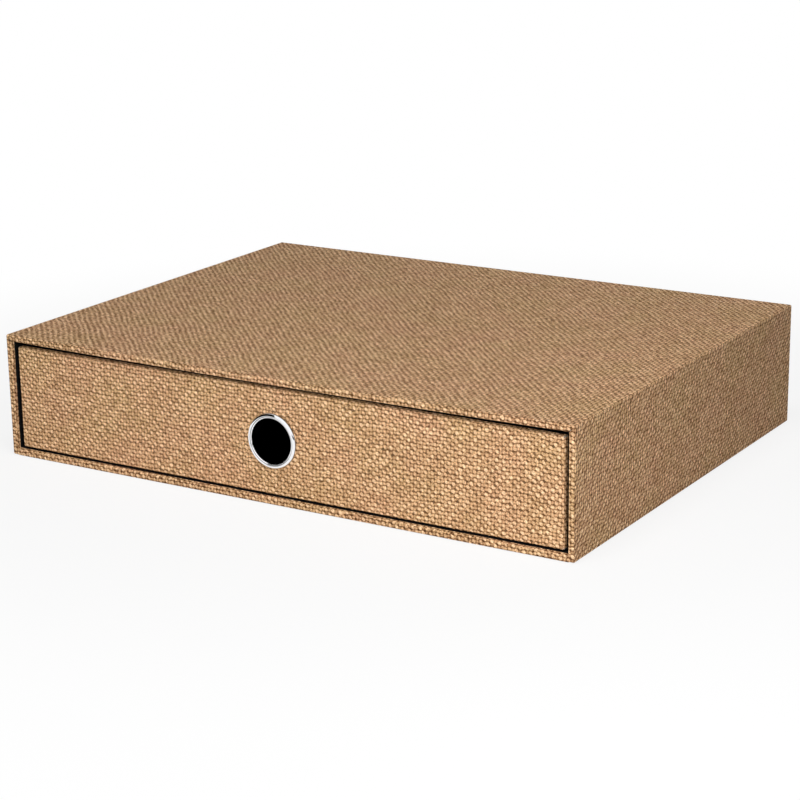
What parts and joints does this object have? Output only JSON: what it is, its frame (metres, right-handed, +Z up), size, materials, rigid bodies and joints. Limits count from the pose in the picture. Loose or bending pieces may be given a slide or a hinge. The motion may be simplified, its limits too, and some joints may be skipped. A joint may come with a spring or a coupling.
{
  "type": "file box with drawer",
  "caption": "Low covered-board desk box with an open front and one full-width drawer that slides out, pulled by a finger in a chromed eyelet.",
  "frame": {"origin": "middle of the base, on the surface that the box stands on", "axes": "+X to the right seen from the front, +Y to the back, so the drawer opens towards -Y, and +Z up"},
  "size_m": [0.335, 0.255, 0.066],
  "materials": {
    "embossed_cover": "brown cover paper embossed like coarse canvas, satin",
    "black_paper": "black paper, matt",
    "gummed_tape": "brown gummed paper tape",
    "grey_board": "bare grey fibre board, 3 mm, matt",
    "tray_board": "bare grey fibre board, 2 mm, matt",
    "chromed_steel": "bright chrome plate"
  },
  "bodies": {
    "casing": {"casing_top_board": "grey_board", "casing_bottom_board": "grey_board", "casing_left_board": "grey_board", "casing_right_board": "grey_board", "casing_back_board": "grey_board", "casing_corner_stays": "gummed_tape", "casing_band_lining": "black_paper", "casing_back_lining": "black_paper", "casing_wrap": "embossed_cover", "casing_back_sheet": "embossed_cover", "casing_base_sheet": "embossed_cover"},
    "drawer": {"tray_bottom_board": "tray_board", "tray_left_board": "tray_board", "tray_right_board": "tray_board", "tray_back_board": "tray_board", "tray_front_board": "tray_board", "tray_corner_stays": "gummed_tape", "tray_wall_lining": "black_paper", "tray_floor_lining": "black_paper", "tray_wrap": "black_paper", "tray_base_sheet": "black_paper", "face_board": "grey_board", "face_cover": "embossed_cover", "eyelet_ferrule": "chromed_steel", "eyelet_washer": "chromed_steel"}
  },
  "joints": [
    {"name": "drawer_slide", "type": "slide", "parent": "casing", "child": "drawer", "axis": [0, -1, 0], "range_m": [0, 0.22]}
  ]
}
